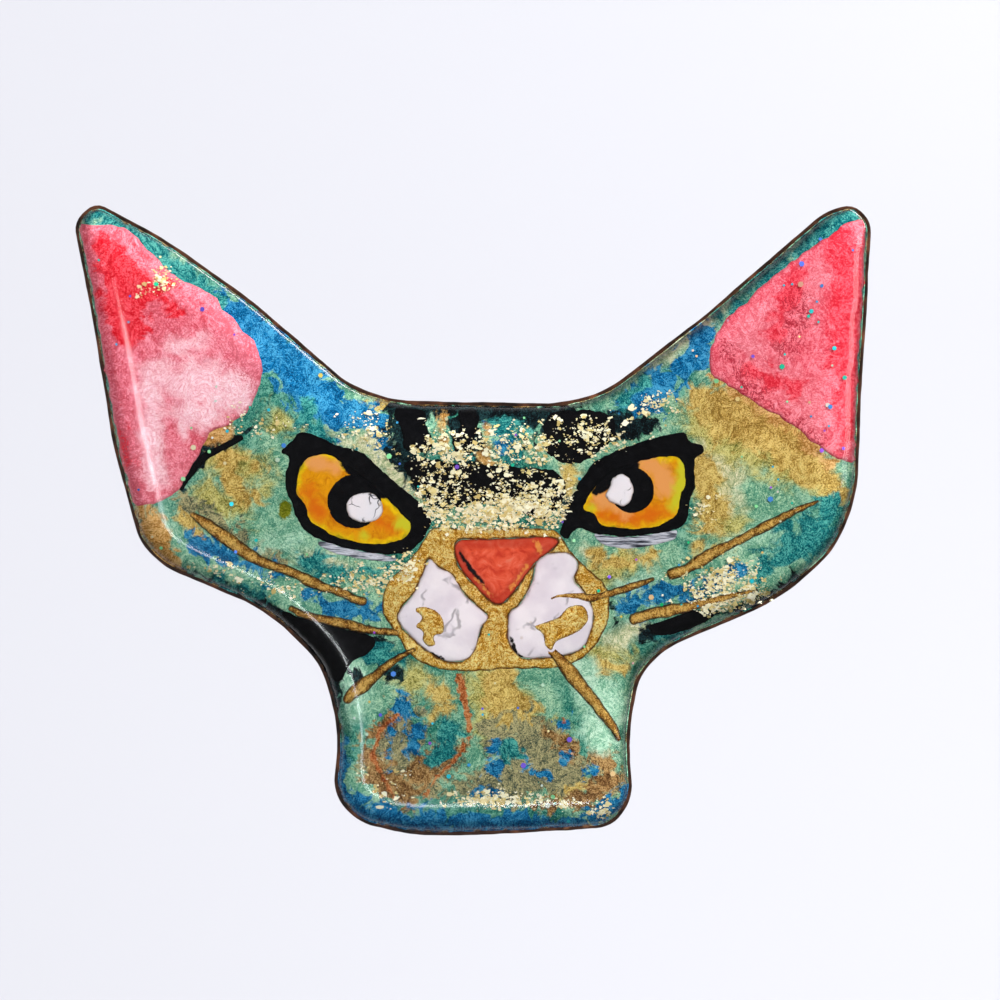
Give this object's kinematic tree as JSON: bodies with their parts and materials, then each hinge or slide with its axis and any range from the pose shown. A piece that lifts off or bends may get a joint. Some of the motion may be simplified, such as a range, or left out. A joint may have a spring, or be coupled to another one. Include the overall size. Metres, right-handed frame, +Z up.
{
  "type": "brooch pin",
  "caption": "Cat-head brooch: painted copper plate under clear domed resin, with raised brush strokes and a riveted bar pin with a hinged needle and turning catch on the back.",
  "frame": {"origin": "on the needle axis, halfway along its shaft, behind the face", "axes": "+X to the viewer's right along the needle, +Z up as worn (ears up), -Y out of the painted face"},
  "size_m": [0.0552, 0.0101, 0.0436],
  "materials": {
    "copper": "brown-patinated copper, filed edge",
    "base_coat": "pearly swirled green, blue and ochre",
    "ear_pink": "pearly pink to red",
    "black_paint": "black",
    "iris_amber": "amber with yellow edge",
    "white_paint": "pearl white",
    "lid_grey": "thin grey-white lines",
    "gold_paint": "grainy metallic gold",
    "bronze_paint": "raised bronze-gold strokes",
    "nose_red": "brick red, raised",
    "resin": "clear domed resin, high gloss",
    "glue": "set epoxy",
    "steel": "nickel-plated",
    "needle_steel": "polished"
  },
  "bodies": {
    "brooch": {"adhesive_bed": "glue", "copper_plate": "copper", "forehead_stripes": "black_paint", "ground_coat": "base_coat", "hinge_rivet": "steel", "left_brow_stroke": "black_paint", "left_catchlight": "white_paint", "left_ear_enamel": "ear_pink", "left_eye_outline": "black_paint", "left_iris": "iris_amber", "left_jaw_shadow": "black_paint", "left_lid_line": "lid_grey", "left_muzzle_pad": "white_paint", "left_muzzle_scroll": "gold_paint", "left_pupil": "black_paint", "muzzle_gold": "gold_paint", "nose": "nose_red", "pin_bar": "steel", "resin_dome": "resin", "right_catchlight": "white_paint", "right_ear_enamel": "ear_pink", "right_eye_outline": "black_paint", "right_iris": "iris_amber", "right_jaw_shadow": "black_paint", "right_lid_line": "lid_grey", "right_muzzle_pad": "white_paint", "right_muzzle_scroll": "gold_paint", "right_pupil": "black_paint", "whisker_left_lower": "bronze_paint", "whisker_left_middle": "bronze_paint", "whisker_left_upper": "bronze_paint", "whisker_right_lower": "bronze_paint", "whisker_right_second": "bronze_paint", "whisker_right_third": "bronze_paint", "whisker_right_upper": "bronze_paint"},
    "needle": {"needle": "needle_steel"},
    "catch_roller": {"catch_roller": "steel"}
  },
  "joints": [
    {"name": "needle_hinge", "type": "hinge", "parent": "brooch", "child": "needle", "pos_m": [-0.0134, 0, 0], "axis": [0, 0, 1], "range_deg": [0, 125]},
    {"name": "catch_turn", "type": "hinge", "parent": "brooch", "child": "catch_roller", "pos_m": [0.0124, 0, 0], "axis": [1, 0, 0], "range_deg": [0, 120]}
  ]
}
